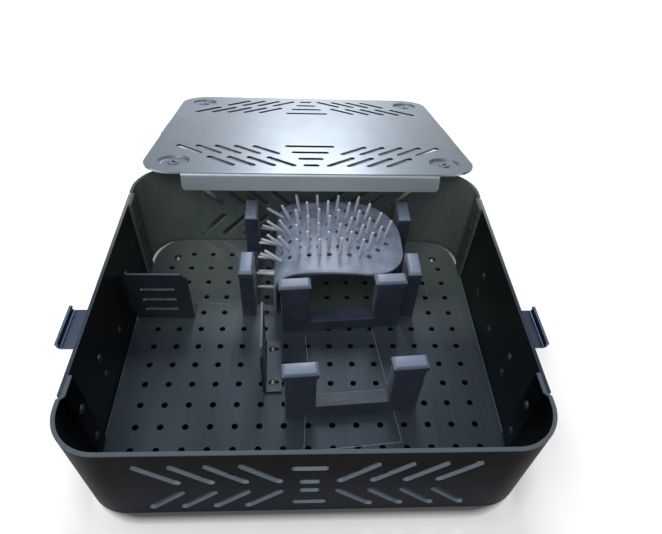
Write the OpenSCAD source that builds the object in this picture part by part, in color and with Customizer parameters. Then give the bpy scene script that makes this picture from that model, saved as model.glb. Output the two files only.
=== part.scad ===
// Dental instrument cassette: a perforated tray of bent and riveted sheet, with
// a lid hooked over its rear rim, two side latches, soft instrument holders, a
// soft finger mat and two slotted dividers.
// Millimetres. X to the right, Y to the rear, Z up. The origin is on the plane
// that the feet stand on, under the middle of the floor's hole grid.

/* [Tray] */
// Outer width of the tray
tray_w = 248; // [220:1:280]
// Outer depth of the tray
tray_d = 220; // [206:1:250]
// Height of the rim above the underside of the floor
wall_h = 71; // [62:1:90]
// Thickness of the tray's sheet
sheet_t = 2; // [1.5:0.1:2.2]
// Outer corner radius in plan
corner_r = 25; // [18:1:28]
// Inner radius of the bends between floor and side plates
bend_r = 1; // [0.5:0.1:1.5]
// Gap between the edge of the floor and the joggled ends of the end walls
floor_gap = 2.5; // [2.3:0.1:4]
// Gap between the edge of the floor and the inside of the end walls
end_gap = 0.8; // [0.5:0.1:2.5]
// How much rounder the floor's corners are than the inside of the end walls
floor_relief = 1; // [0.5:0.5:3]
// Length of the end walls' legs along the sides, up to the joggle
leg_l = 29; // [28:0.5:34]
// Length of the riveted tongues inside the side plates
tongue_l = 12; // [10:0.5:16]
// Gap between a side plate's end and the joggle
joint_gap = 0.2; // [0.1:0.05:0.5]

/* [Floor holes] */
// Pitch of the floor's hole grid
pitch = 15; // [12:0.5:18]
// Diameter of the floor's holes
hole_d = 4; // [3:0.1:6]
// Least distance from a hole's centre to the side walls
grid_edge = 17; // [15:0.5:20]

/* [Wall slots] */
// Width of the slots in the end walls and the lid
slot_w = 4.6; // [3:0.1:5.5]
// Length of a slanted slot, tip to tip
slot_l = 29.3; // [24:0.1:32]
// Slant of the wall slots from the horizontal
slot_a = 46; // [35:1:50]
// Distance between neighbouring slanted slots
slot_pitch = 16.9; // [14:0.1:19]
// Distance from the middle of the wall to the first slanted slot
slot_x0 = 24.1; // [22:0.1:28]
// Height of each slanted row above or below the middle of the pattern
slot_dz = 15.4; // [13:0.1:17]
// Height of the pattern's middle below the middle of the wall
slot_drop = 2.2; // [0:0.1:3]
// Number of slanted slots in a row
slot_n = 4; // [2:1:5]
// Lengths of the inner and outer level slots
level_l = [10.8, 18.6]; // [6:0.1:24]
// Heights of the inner and outer level slots from the pattern's middle
level_z = [5.3, 20.9]; // [4:0.1:24]

/* [Rivets and screws] */
// Diameter of the rivets' shanks
rivet_d = 3; // [2.4:0.1:4]
// Height of a rivet's head
rivet_head_h = 1.1; // [0.8:0.1:1.4]
// Clearance of a rivet or screw in its hole, on the radius
fast_clear = 0.05; // [0.02:0.01:0.1]
// Height of the corner rivets below the rim
rivet_z = [23, 53]; // [12:1:60]
// Shank diameter of the small screws
screw_d = 2.5; // [2:0.1:3]
// Thickness of the nuts under the floor
nut_h = 2; // [1.5:0.1:2.5]

/* [Feet] */
// Height of the feet below the floor
foot_h = 4; // [3:0.1:6]
// Diameter of a foot
foot_d = 15; // [12:0.5:16]
// Distance of the feet from the tray's outer sides
foot_inset_x = 21.7; // [18:0.1:26]
// Distance of the feet from the tray's front and rear
foot_inset_y = 23.6; // [20:0.1:28]
// Diameter of the foot screws' shanks
foot_screw_d = 3; // [2.5:0.1:4]

/* [Latches] */
// Middle of the latches, from the middle of the tray
latch_y = -3; // [-10:0.5:10]
// Width of a latch
latch_w = 31; // [24:0.5:40]
// Thickness of the latch sheet
latch_t = 1.2; // [1:0.1:1.5]
// Reach of a latch from its pin to the outside of its lip
latch_l = 25.5; // [24:0.5:27]
// Height of the latch's lip, from the pin's level to the bead's middle
lip_h = 3.9; // [3.6:0.1:4.6]
// Diameter of the bead along the lip's edge
bead_d = 2.4; // [2:0.1:2.6]
// Diameter of the latch pin
pin_d = 2.5; // [2:0.1:3]
// Running clearance of the latch on its pin, on the radius
pin_clear = 0.06; // [0.02:0.01:0.1]
// Outer diameter of the latch's barrel
barrel_d = 6; // [5:0.1:7]
// Height of the latch pins above the underside of the floor
latch_z = 25.5; // [24:0.5:27]
// Distance of the latch pins from the wall
pin_out = 7; // [6.5:0.1:8]
// Air between the open latch's heel and the bracket it stops on
stop_gap = 0.2; // [0.1:0.05:0.4]
// Thickness of the latch's heel
heel_t = 1.4; // [1:0.1:2]
// Play between a latch and its ears
latch_gap = 0.4; // [0.3:0.05:0.6]
// Width of the riveted latch bracket
bracket_w = 82; // [70:1:100]
// Height of the riveted latch bracket
bracket_h = 30; // [28:0.5:31]
// Height of the bracket's lower edge above the floor's underside
bracket_z = 17; // [15:0.5:18]
// Thickness of the bracket sheet
bracket_t = 1.5; // [1:0.1:1.6]
// Distance of the bracket's rivets from its middle
bracket_rivet_y = 33.8; // [28:0.2:36]
// Heights of the bracket's rivets above its lower edge
bracket_rivet_z = [8, 24.5]; // [6:0.5:26]

/* [Lid] */
// Depth of the lid over its flanges
lid_extra_d = 4; // [3.4:0.1:8]
// Thickness of the lid's sheet
lid_t = 1.5; // [1:0.1:1.6]
// Width of the lid's front and rear flanges
flange_w = 186; // [150:1:195]
// Depth of the lid's front and rear flanges
flange_h = 13; // [10:0.5:16]
// Inner radius of the lid's bends
lid_bend_r = 1; // [0.3:0.1:1.2]
// Length of the lid's slanted slots, tip to tip
lid_slot_l = 29.5; // [24:0.5:32]
// Slant of the lid's slots
lid_slot_a = 42; // [35:1:50]
// Distance between neighbouring slots of the lid
lid_pitch = 15; // [14:0.1:17]
// Distance from the lid's middle to the first slot of the outer row
lid_row1_x = 34.9; // [30:0.1:40]
// Distance from the lid's middle to the first slot of the row near the flange
lid_row2_x = 22.6; // [20:0.1:28]
// Distance of the two rows from the lid's long edges
lid_row_y = [52.5, 26]; // [24:0.5:60]
// Lengths of the lid's level slots
lid_level_l = [40.5, 29.8, 19.9, 12.3]; // [8:0.1:45]
// Distance of the lid's level slots from its long edges
lid_level_y = [62, 47, 32.2, 18]; // [14:0.1:66]
// Depth of the stacking dishes
dish_h = 1.8; // [1:0.1:2.4]
// Rim diameter of the stacking dishes
dish_d = 24; // [22:0.5:26]
// Diameter of the drain hole in a dish
dish_hole_d = 3.2; // [2:0.1:4]
// Width of the keeper tabs under the lid's side edges
keeper_w = 28; // [20:0.5:30]
// Turned-out hem at the lower edge of a keeper tab
keeper_hem = 3.6; // [3:0.1:4]
// Clearance between the closed lid and the tray's outside
lid_clear = 0.3; // [0.2:0.05:0.5]
// Tilt of the lid where it hangs on the rear rim
lid_tilt = 15.3; // [12:0.1:18]
// Turn of the lid in its own plane
lid_turn = 1; // [-2:0.1:2]
// Sideways offset of the lid
lid_x = 1; // [-3:0.1:3]
// How far the lid reaches in over the rear rim
lid_hook = 16.5; // [15:0.1:17]
// Air between the dishes and the rim where the lid rests
rest_gap = 0.25; // [0.2:0.05:0.4]

/* [Holders] */
// Height of the instrument holders above the floor
holder_h = 47; // [35:0.5:50]
// Thickness of the instrument holders
holder_t = 9.5; // [8:0.1:11]
// Height of a holder's base bar
holder_base_h = 10; // [8:0.5:12]
// Width of a holder's post
post_w = 18.5; // [16:0.5:20]
// How far a post's head stands out on each side
head_out = 1.5; // [1:0.1:2]
// Height of a post's head
head_h = 7; // [6:0.5:9]
// Length of the front and middle holders
long_l = 83; // [76:0.5:86]
// Length of the left and right holders
short_l = 74.5; // [72:0.5:76]
// Middle of the front holder
front_pos = [27.1, -46.6]; // [-60:0.1:60]
// Middle of the middle holder
middle_pos = [23.2, 19.6]; // [0:0.1:60]
// Turn of the front and middle holders
long_turn = 4.2; // [3:0.1:5]
// X of the left and right holders' middles
side_x = [-41.9, 72.6]; // [-45:0.1:76]
// Y of the left and right holders' middles
side_y = 64.2; // [63:0.1:65]
// Diameter of the plugs that hold the holders in the floor
plug_d = 4; // [3:0.1:4.4]
// Height of a plug's head under the floor
plug_head_h = 1.5; // [1:0.1:2]
// Places of the plugs along a long holder
long_plug = [-34.2, 25.5]; // [-36:0.1:36]
// Places of the plugs along a short holder
short_plug = [-26.7, 18.3]; // [-30:0.1:30]

/* [Finger mat] */
// Thickness of the mat
mat_t = 1.8; // [1.4:0.1:2.2]
// Width of the mat, front to rear
mat_w = 75; // [66:0.5:76]
// Y of the mat's middle
mat_y = 66.2; // [64:0.1:67.5]
// X of the outside of the mat's standing leg
mat_x0 = -24; // [-25:0.1:-22]
// X of the mat's free end
mat_x1 = 69; // [60:0.1:69.2]
// Height of the mat's crown above the floor
mat_h = 44.5; // [36:0.5:46]
// X of the mat's crown
mat_crown_x = 16; // [10:0.5:20]
// Outer radius of the bend above the mat's leg
mat_bend_r = 20; // [16:0.5:24]
// Outer radius of the mat's gently arched top
mat_top_r = 190; // [150:5:260]
// Plan radius of the mat's free corners
mat_corner_r = 30; // [29.5:0.5:32]
// Spacing of fingers and drain holes along the mat
mat_pitch = 7.05; // [6.6:0.05:8]
// Distance between the rows of fingers and drain holes
mat_row_pitch = 7.9; // [7:0.1:8]
// Distance of the first fingers above the mat's foot
mat_col0 = 10.2; // [8:0.1:11]
// Plain margin between the last fingers and the mat's free end
mat_end = 12; // [9:0.5:14]
// Y of the rows' middle, from the mat's middle
mat_row_off = 3.5; // [0:0.1:4]
// Length of a finger
finger_l = 15; // [12:0.2:16]
// Length of the fingers that stand off the leg
finger_leg_l = 12.6; // [10:0.1:12.8]
// Diameter of a finger at its root
finger_d0 = 2.8; // [2.4:0.1:3.2]
// Diameter of a finger at its tip
finger_d1 = 1.9; // [1.4:0.1:2.2]
// Diameter of a drain hole in the mat
mat_hole_d = 3; // [2:0.1:3.4]
// Number of spaces between the rows
mat_rows = 6; // [4:1:6]

/* [Dividers] */
// Width of a divider
div_w = 40; // [36:0.5:44]
// Height of a divider
div_h = 45; // [38:0.5:50]
// Thickness of the divider sheet
div_t = 1.5; // [1:0.1:2]
// Depth of a divider's foot
div_foot = 12; // [11:0.5:14]
// Corner cut at a divider's top
div_cut = 4; // [2:0.5:6]
// Length of a divider's slots
div_slot_l = 24; // [18:0.5:28]
// Width of a divider's slots
div_slot_w = 2.6; // [2:0.1:3.5]
// Spacing of a divider's slots
div_slot_pitch = 10.2; // [8:0.1:11]
// Gap between the left divider and the side wall
div_gap = 1.3; // [1.2:0.1:2.5]
// Y of the left divider's face
div_left_y = 24.8; // [20:0.1:26]
// Place of the middle divider's face and middle
div_mid_pos = [-29.6, -17]; // [-32:0.1:-10]
// Turn of the middle divider from the depth direction
div_mid_turn = 2; // [0:0.5:4]
// Spacing of a foot's two screws
div_screw_pitch = 26.3; // [24:0.1:30]
// Distance of the screws from the faces of the left and middle dividers
div_screw_off = [9, 6]; // [5:0.1:9.4]

/* [Hidden] */
$fn = 48;
// Levels of the floor and the rim
floor_z0 = foot_h;
floor_z1 = foot_h + sheet_t;
rim_z = foot_h + wall_h;
// The end walls end halfway up the floor's edge
wall_z0 = foot_h + sheet_t / 2;
// Half width and half depth of the tray
hw = tray_w / 2;
hd = tray_d / 2;
in_hw = hw - sheet_t;
in_hd = hd - sheet_t;
// Where the legs, the joggles and the tongues end
leg_y = hd - leg_l;
jog_y = leg_y - sheet_t;
tongue_y = jog_y - tongue_l;
side_y1 = jog_y - joint_gap;
rivet_y = jog_y - tongue_l / 2;
tongue_z0 = floor_z1 + bend_r + 1;
// Floor outline beyond the side plates
floor_hw = in_hw - floor_gap;
floor_hd = in_hd - end_gap;
floor_r = corner_r - sheet_t + floor_relief;
// Hole grid
grid_nx = floor((in_hw - grid_edge) / pitch);
grid_ny = floor((in_hd - grid_edge) / pitch);
foot_x = hw - foot_inset_x;
foot_y = hd - foot_inset_y;
foot_screw_l = floor_z1 - 1;
// Wall slots
slot_mid_z = (wall_z0 + rim_z) / 2 - slot_drop;
// Rivets
rivet_r = rivet_d / 2;
rivet_head_r = rivet_r + 1.1;
rivet_zs = [for (d = rivet_z) rim_z - d];
// Latches
pin_x = hw + pin_out;
pin_z = foot_h + latch_z;
ear_t = bracket_t;
ear_r = barrel_d / 2 + 1;
ear_in = latch_w / 2 + latch_gap;
pin_head_h = 1;
bracket_z0 = foot_h + bracket_z;
bracket_z1 = bracket_z0 + bracket_h;
heel_l = (pin_out - bracket_t - stop_gap) * sqrt(2) - heel_t / 2;
// Lid
lid_w = tray_w;
lid_hw = lid_w / 2;
lid_hd = (tray_d + lid_extra_d) / 2;
lid_bend_o = lid_bend_r + lid_t;
keeper_in = hw + lid_clear;
keeper_h = rim_z + lid_t - bracket_z1 - 0.8;
dish_out = dish_d / 2;
dish_in = dish_out - 1.7;
boss_r = foot_d / 2 - 3;
dish_x = foot_x;
dish_y = foot_y;
// Finger mat
mat_y0 = mat_y - mat_w / 2;
mat_top_z = floor_z1 + mat_h;
mat_cz = mat_top_z - mat_top_r;
mat_bx = mat_x0 + mat_bend_r;
// The bend's circle touches the top arc from inside
mat_bz = mat_cz + sqrt(pow(mat_top_r - mat_bend_r, 2) - pow(mat_crown_x - mat_bx, 2));
mat_touch = atan2(mat_bx - mat_crown_x, mat_bz - mat_cz);
mat_leg_l = mat_bz - floor_z1;
mat_bend_l = mat_bend_r * (90 + mat_touch) * PI / 180;
mat_end_a = asin((mat_x1 - mat_crown_x) / mat_top_r);
mat_top_l = mat_top_r * (mat_end_a - mat_touch) * PI / 180;
mat_len = mat_leg_l + mat_bend_l + mat_top_l;
mat_row0 = mat_y + mat_row_off - mat_rows * mat_row_pitch / 2;
mat_cols = floor((mat_len - mat_col0 - mat_end) / mat_pitch);

// Rectangle centred on the origin with rounded corners
module rounded_rect(w, d, r) {
    square([w - 2 * r, d], center = true);
    square([w, d - 2 * r], center = true);
    for (sx = [-1, 1]) {
        for (sy = [-1, 1]) {
            translate([sx * (w / 2 - r), sy * (d / 2 - r)]) circle(r);
        }
    }
}

// Slot with round ends, l from tip to tip
module slot2d(l, w) {
    square([l - w, w], center = true);
    for (s = [-1, 1]) {
        translate([s * (l - w) / 2, 0]) circle(w / 2);
    }
}

// Quarter of a bent sheet, from +X round to +Y, about the origin
module bend2d(ri, t) {
    intersection() {
        difference() {
            circle(ri + t);
            circle(ri);
        }
        square(ri + t + 1);
    }
}

// Domed head on the XY plane, pointing up
module dome(r, h) {
    big = (r * r + h * h) / (2 * h);
    rotate_extrude() {
        intersection() {
            translate([0, h - big]) circle(big);
            square([r, h]);
        }
    }
}

// Rivet along Z: one head above zero, the other under the grip
module rivet(grip) {
    translate([0, 0, -grip]) cylinder(h = grip, r = rivet_r);
    dome(rivet_head_r, rivet_head_h);
    translate([0, 0, -grip]) mirror([0, 0, 1]) dome(rivet_head_r, rivet_head_h);
}

// Places its child at each of the four corner riveting joints, on the inside
module at_corner_rivets() {
    for (sx = [-1, 1]) {
        for (sy = [-1, 1]) {
            for (z = rivet_zs) {
                translate([sx * (in_hw - sheet_t), sy * rivet_y, z]) rotate([0, -90 * sx, 0]) children();
            }
        }
    }
}

// Places its child at the rivets of one latch bracket, on the wall's inside
module at_bracket_rivets(sx) {
    for (p = [[-1, 0], [-1, 1], [1, 0], [1, 1], [0, 0]]) {
        translate([sx * in_hw, latch_y + p[0] * bracket_rivet_y, bracket_z0 + bracket_rivet_z[p[1]]])
            rotate([0, -90 * sx, 0]) children();
    }
}

// Places its child at the feet
module at_feet() {
    for (sx = [-1, 1]) {
        for (sy = [-1, 1]) {
            translate([sx * foot_x, sy * foot_y, 0]) children();
        }
    }
}

// Places its child at the plugs of a holder
module at_plugs(pos, turn, places) {
    for (p = places) {
        translate([pos[0], pos[1], 0]) rotate([0, 0, turn]) translate([p, 0, 0]) children();
    }
}

module at_all_plugs() {
    at_plugs(front_pos, long_turn, long_plug) children();
    at_plugs(middle_pos, long_turn, long_plug) children();
    at_plugs([side_x[0], side_y], 90, short_plug) children();
    at_plugs([side_x[1], side_y], 90, short_plug) children();
}

// The dividers' places: local X runs along the plate, local Y points to the foot
module at_divider(i) {
    left_x = -in_hw + div_gap + div_w / 2;
    if (i == 0) {
        translate([left_x, div_left_y, floor_z1]) children();
    } else {
        translate([div_mid_pos[0], div_mid_pos[1], floor_z1]) rotate([0, 0, div_mid_turn - 90]) children();
    }
}

module at_divider_screws() {
    for (i = [0, 1]) {
        for (s = [-1, 1]) {
            at_divider(i) translate([s * div_screw_pitch / 2, div_screw_off[i], 0]) children();
        }
    }
}

// Floor and both side plates, bent up from one sheet
module tray_pan() {
    color([0.13, 0.14, 0.16]) difference() {
        union() {
            translate([0, 0, floor_z0]) linear_extrude(sheet_t) difference() {
                union() {
                    rounded_rect(2 * floor_hw, 2 * floor_hd, floor_r);
                    square([2 * (in_hw - bend_r), 2 * side_y1], center = true);
                }
                for (ix = [-grid_nx:grid_nx]) {
                    for (iy = [-grid_ny:grid_ny]) {
                        if (abs(ix) < grid_nx || abs(iy) < grid_ny) {
                            translate([ix * pitch, iy * pitch]) circle(d = hole_d);
                        }
                    }
                }
            }
            for (sx = [0, 1]) {
                mirror([sx, 0, 0]) translate([0, side_y1, 0]) rotate([90, 0, 0]) linear_extrude(2 * side_y1) {
                    translate([in_hw, floor_z1 + bend_r]) square([sheet_t, rim_z - floor_z1 - bend_r]);
                    translate([in_hw - bend_r, floor_z1 + bend_r]) mirror([0, 1]) bend2d(bend_r, sheet_t);
                }
            }
        }
        at_feet() cylinder(h = rim_z, d = foot_screw_d + 2 * fast_clear);
        at_all_plugs() cylinder(h = rim_z, d = plug_d + 2 * fast_clear);
        at_divider_screws() translate([0, 0, -rim_z / 2]) cylinder(h = rim_z, d = screw_d + 2 * fast_clear);
        at_corner_rivets() translate([0, 0, -20]) cylinder(h = 25, r = rivet_r + fast_clear);
        for (sx = [-1, 1]) {
            at_bracket_rivets(sx) translate([0, 0, -20]) cylinder(h = 25, r = rivet_r + fast_clear);
        }
    }
}

// Chevrons of slanted slots that point to the middle, and four level slots
module wall_slots() {
    for (sx = [0, 1]) {
        mirror([sx, 0]) for (i = [0:slot_n - 1]) {
            translate([slot_x0 + i * slot_pitch, slot_dz]) rotate(slot_a) slot2d(slot_l, slot_w);
            translate([slot_x0 + i * slot_pitch, -slot_dz]) rotate(-slot_a) slot2d(slot_l, slot_w);
        }
    }
    for (i = [0, 1]) {
        for (s = [-1, 1]) {
            translate([0, s * level_z[i]]) slot2d(level_l[i], slot_w);
        }
    }
}

// Plan of an end wall: the sheet runs round both corners, and each of its ends
// is joggled inwards by its own thickness, to lie inside the side plate
module end_plan() {
    difference() {
        rounded_rect(tray_w, tray_d, corner_r);
        difference() {
            rounded_rect(2 * in_hw, 2 * in_hd, corner_r - sheet_t);
            for (m = [0, 1]) {
                mirror([m, 0]) polygon([[hw, -leg_y], [in_hw, -leg_y], [in_hw - sheet_t, -jog_y],
                    [in_hw - sheet_t, hd], [hw, hd]]);
            }
        }
        polygon([[-tray_w, -leg_y], [-hw, -leg_y], [-in_hw, -jog_y], [-in_hw, -tongue_y],
            [in_hw, -tongue_y], [in_hw, -jog_y], [hw, -leg_y], [tray_w, -leg_y],
            [tray_w, tray_d], [-tray_w, tray_d]]);
    }
}

module end_wall() {
    difference() {
        translate([0, 0, wall_z0]) linear_extrude(rim_z - wall_z0) end_plan();
        // The tongues begin above the bends of the side plates
        translate([-hw, -jog_y, wall_z0 - 1]) cube([2 * hw, tongue_l + 1, tongue_z0 - wall_z0 + 1]);
        translate([0, -hd - 1, slot_mid_z]) rotate([-90, 0, 0]) linear_extrude(sheet_t + 2) wall_slots();
        at_corner_rivets() translate([0, 0, -20]) cylinder(h = 25, r = rivet_r + fast_clear);
    }
}

module front_wall() {
    color([0.12, 0.13, 0.15]) end_wall();
}

module rear_wall() {
    color([0.12, 0.13, 0.15]) mirror([0, 1, 0]) end_wall();
}

// Eight rivets through the tongues and the side plates
module wall_rivets() {
    color([0.75, 0.76, 0.78]) at_corner_rivets() rivet(2 * sheet_t);
}

// Soft feet, hollow underneath so that they straddle the boss of a dish
module feet() {
    color([0.08, 0.08, 0.09]) at_feet() difference() {
        rotate_extrude() polygon([[boss_r, 0], [foot_d / 2 - 0.6, 0], [foot_d / 2, 0.6],
            [foot_d / 2, foot_h], [0, foot_h], [0, 1.2], [boss_r, 1.2]]);
        translate([0, 0, 1]) cylinder(h = foot_h, d = foot_screw_d + 2 * fast_clear);
    }
}

module foot_screws() {
    color([0.8, 0.81, 0.83]) at_feet() {
        translate([0, 0, floor_z1]) dome(foot_screw_d / 2 + 1.4, 1.3);
        translate([0, 0, floor_z1 - foot_screw_l + 0.4]) cylinder(h = foot_screw_l - 0.4, d = foot_screw_d);
    }
}

// Plate riveted to the outside of the side wall, with two ears for the pin
module bracket() {
    color([0.55, 0.57, 0.6]) difference() {
        union() {
            translate([hw, latch_y, (bracket_z0 + bracket_z1) / 2]) rotate([90, 0, 90])
                linear_extrude(bracket_t) rounded_rect(bracket_w, bracket_h, 5);
            for (s = [-1, 1]) {
                translate([0, latch_y + s * (ear_in + ear_t / 2) + ear_t / 2, pin_z]) rotate([90, 0, 0])
                    linear_extrude(ear_t) {
                        translate([hw + bracket_t / 2, -ear_r]) square([pin_out - bracket_t / 2, 2 * ear_r]);
                        translate([pin_x, 0]) circle(ear_r);
                    }
            }
        }
        translate([pin_x, latch_y + latch_w, pin_z]) rotate([90, 0, 0])
            cylinder(h = 2 * latch_w, r = pin_d / 2 + fast_clear);
        at_bracket_rivets(1) translate([0, 0, -20]) cylinder(h = 25, r = rivet_r + fast_clear);
    }
}

module bracket_right() {
    bracket();
}

module bracket_left() {
    mirror([1, 0, 0]) bracket();
}

module bracket_rivets() {
    color([0.75, 0.76, 0.78]) for (sx = [-1, 1]) {
        at_bracket_rivets(sx) rivet(sheet_t + bracket_t);
    }
}

// Pins with peened heads outside the ears
module latch_pins() {
    color([0.7, 0.71, 0.73]) for (sx = [-1, 1]) {
        translate([sx * pin_x, latch_y, pin_z]) rotate([90, 0, 0]) {
            cylinder(h = 2 * (ear_in + ear_t), d = pin_d, center = true);
            for (s = [-1, 1]) {
                translate([0, 0, s * (ear_in + ear_t + pin_head_h / 2)])
                    cylinder(h = pin_head_h, r = pin_d / 2 + 0.8, center = true);
            }
        }
    }
}

// Side view of the latch: barrel, level plate, lip with its bead, and the heel
// that bears on the bracket and stops the open latch level
module latch2d() {
    ri = latch_t;
    difference() {
        union() {
            circle(barrel_d / 2);
            translate([0, -latch_t / 2]) square([latch_l - ri - latch_t, latch_t]);
            translate([latch_l - ri - latch_t, latch_t / 2 + ri]) mirror([0, 1]) bend2d(ri, latch_t);
            translate([latch_l - latch_t, latch_t / 2 + ri]) square([latch_t, lip_h - latch_t / 2 - ri]);
            translate([latch_l - latch_t / 2, lip_h]) circle(bead_d / 2);
            rotate(225) translate([0, -heel_t / 2]) square([heel_l, heel_t]);
        }
        circle(pin_d / 2 + pin_clear);
    }
}

module latch() {
    color([0.55, 0.6, 0.7]) translate([pin_x, latch_y + latch_w / 2, pin_z]) rotate([90, 0, 0])
        linear_extrude(latch_w) latch2d();
}

module latch_right() {
    latch();
}

module latch_left() {
    mirror([1, 0, 0]) latch();
}

// One quarter of the lid's slot pattern, measured from the long edge
module lid_slot_quarter() {
    for (i = [0:4]) {
        translate([lid_row1_x + i * lid_pitch, lid_hd - lid_row_y[0]]) rotate(-lid_slot_a)
            slot2d(lid_slot_l, slot_w);
    }
    for (i = [0:3]) {
        translate([lid_row2_x + i * lid_pitch, lid_hd - lid_row_y[1]]) rotate(-lid_slot_a)
            slot2d(lid_slot_l, slot_w);
    }
}

// Lid in its own frame: middle of the top face at the origin, front flange at -Y
module lid_flat() {
    difference() {
        union() {
            translate([0, 0, -lid_t]) linear_extrude(lid_t) difference() {
                rounded_rect(lid_w, tray_d, corner_r);
                for (s = [-1, 1]) {
                    translate([0, s * (lid_hd - lid_bend_o / 2 + 1)])
                        square([flange_w + 1, lid_bend_o + 2], center = true);
                }
            }
            for (m = [0, 1]) {
                mirror([0, m, 0]) flange();
                mirror([m, 0, 0]) keeper();
            }
            for (sx = [-1, 1]) {
                for (sy = [-1, 1]) {
                    translate([sx * dish_x, sy * dish_y, -lid_t]) rotate_extrude()
                        polygon([[0, 0.2], [dish_out + 0.6, 0.2], [dish_out + 0.6, 0],
                            [dish_in + 0.6, -dish_h], [boss_r - 1, -dish_h], [boss_r - 1.6, -0.9], [0, -0.9]]);
                }
            }
        }
        for (sx = [-1, 1]) {
            for (sy = [-1, 1]) {
                translate([sx * dish_x, sy * dish_y, 0]) {
                    rotate_extrude() polygon([[0, 1], [dish_out, 1], [dish_out, 0],
                        [dish_in, -dish_h], [boss_r, -dish_h], [boss_r - 0.6, -0.9], [0, -0.9]]);
                    translate([0, 0, -10]) cylinder(h = 20, d = dish_hole_d);
                }
            }
        }
        translate([0, 0, -lid_t - 1]) linear_extrude(lid_t + 2) for (sx = [0, 1]) {
            for (sy = [0, 1]) {
                mirror([sx, 0]) mirror([0, sy]) lid_slot_quarter();
            }
        }
        translate([0, 0, -lid_t - 1]) linear_extrude(lid_t + 2) for (s = [-1, 1]) {
            for (i = [0:3]) {
                translate([0, s * (lid_hd - lid_level_y[i])]) slot2d(lid_level_l[i], slot_w);
            }
        }
    }
}

// Front flange of the lid with its bend and rounded lower corners
module flange() {
    translate([flange_w / 2, -lid_hd, 0]) rotate([90, 0, -90]) linear_extrude(flange_w)
        translate([-lid_bend_o, -lid_bend_o]) bend2d(lid_bend_r, lid_t);
    translate([0, -lid_hd + lid_t, -lid_bend_o]) rotate([90, 0, 0]) linear_extrude(lid_t) difference() {
        translate([0, -(flange_h - lid_bend_o)]) union() {
            translate([0, (flange_h - lid_bend_o) / 2]) rounded_rect(flange_w, flange_h - lid_bend_o, 3);
            translate([-flange_w / 2, 4]) square([flange_w, flange_h - lid_bend_o - 4]);
        }
    }
    translate([0, -lid_hd + lid_bend_o + 0.5, -lid_t / 2]) cube([flange_w, 1, lid_t], center = true);
}

// Side tab that the latch's lip hooks over when the lid is on
module keeper() {
    translate([0, latch_y + keeper_w / 2, 0]) rotate([90, 0, 0]) linear_extrude(keeper_w) {
        translate([lid_hw - 10, -lid_t]) square([keeper_in - lid_bend_r - lid_hw + 10, lid_t]);
        translate([keeper_in - lid_bend_r, -lid_bend_o]) bend2d(lid_bend_r, lid_t);
        translate([keeper_in, -keeper_h]) square([lid_t, keeper_h - lid_bend_o]);
        translate([keeper_in, -keeper_h]) square([keeper_hem, lid_t]);
    }
}

// The lid hangs on the rear rim: its two near dishes lie on the rim's edge
module lid() {
    color([0.45, 0.5, 0.55]) translate([lid_x, hd, rim_z + rest_gap + dish_h]) rotate([-lid_tilt, 0, 0])
        translate([0, lid_hd - lid_hook, lid_t]) rotate([0, 0, lid_turn]) lid_flat();
}

// Left half of a holder seen from the front: post, head and half of the bar
module holder_half2d(l) {
    zt = holder_h;
    zh = holder_h - head_h;
    polygon([[-l / 2, 0], [0, 0], [0, holder_base_h], [-l / 2 + post_w, holder_base_h],
        [-l / 2 + post_w, zh], [-l / 2 + post_w + head_out, zh + 2 * head_out],
        [-l / 2 + post_w + head_out, zt - head_out], [-l / 2 + post_w, zt],
        [-l / 2, zt], [-l / 2 - head_out, zt - head_out],
        [-l / 2 - head_out, zh + 2 * head_out], [-l / 2, zh]]);
    // Fillet where the post meets the bar
    translate([-l / 2 + post_w, holder_base_h]) difference() {
        square(3);
        translate([3, 3]) circle(3);
    }
}

module holder(l, places) {
    color([0.28, 0.33, 0.43]) {
        translate([0, holder_t / 2, floor_z1]) rotate([90, 0, 0]) linear_extrude(holder_t) {
            holder_half2d(l);
            mirror([1, 0]) holder_half2d(l);
        }
        for (p = places) {
            translate([p, 0, floor_z0 - plug_head_h / 2]) cylinder(h = sheet_t + plug_head_h, d = plug_d);
            translate([p, 0, floor_z0 - plug_head_h]) cylinder(h = plug_head_h, r1 = plug_d / 2, r2 = plug_d / 2 + 0.9);
        }
    }
}

module holder_front() {
    translate([front_pos[0], front_pos[1], 0]) rotate([0, 0, long_turn]) holder(long_l, long_plug);
}

module holder_middle() {
    translate([middle_pos[0], middle_pos[1], 0]) rotate([0, 0, long_turn]) holder(long_l, long_plug);
}

module holder_left() {
    translate([side_x[0], side_y, 0]) rotate([0, 0, 90]) holder(short_l, short_plug);
}

module holder_right() {
    translate([side_x[1], side_y, 0]) rotate([0, 0, 90]) holder(short_l, short_plug);
}

// Point at a radius and an angle about the middle of the top's arc
function top_point(r, a) = [mat_crown_x + r * sin(a), mat_cz + r * cos(a)];

// Everything under the mat's outside, t in from it and carried further at its ends
module mat_region2d(t, further) {
    end_a = mat_end_a + further / mat_top_r * 180 / PI;
    translate([mat_x0 + t, floor_z1 - further]) square([mat_bend_r + further, mat_leg_l + further]);
    translate([mat_bx, mat_bz]) circle(mat_bend_r - t, $fn = 96);
    intersection() {
        translate([mat_crown_x, mat_cz]) circle(mat_top_r - t, $fn = 360);
        polygon([top_point(mat_top_r - mat_bend_r - further, mat_touch), top_point(2 * mat_top_r, mat_touch),
            top_point(2 * mat_top_r, end_a), top_point(mat_top_r - mat_t - 1 - further, end_a)]);
    }
}

// Side view of the mat: standing leg, bend, and gently arched top
module mat2d() {
    difference() {
        mat_region2d(0, 0);
        mat_region2d(mat_t, mat_bend_r + 1);
    }
}

// Angle from the vertical of the mat's outward direction, s along the outside
function mat_angle(s) = s < mat_leg_l ? -90
    : s < mat_leg_l + mat_bend_l ? -90 + (s - mat_leg_l) / mat_bend_r * 180 / PI
    : mat_touch + (s - mat_leg_l - mat_bend_l) / mat_top_r * 180 / PI;

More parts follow.
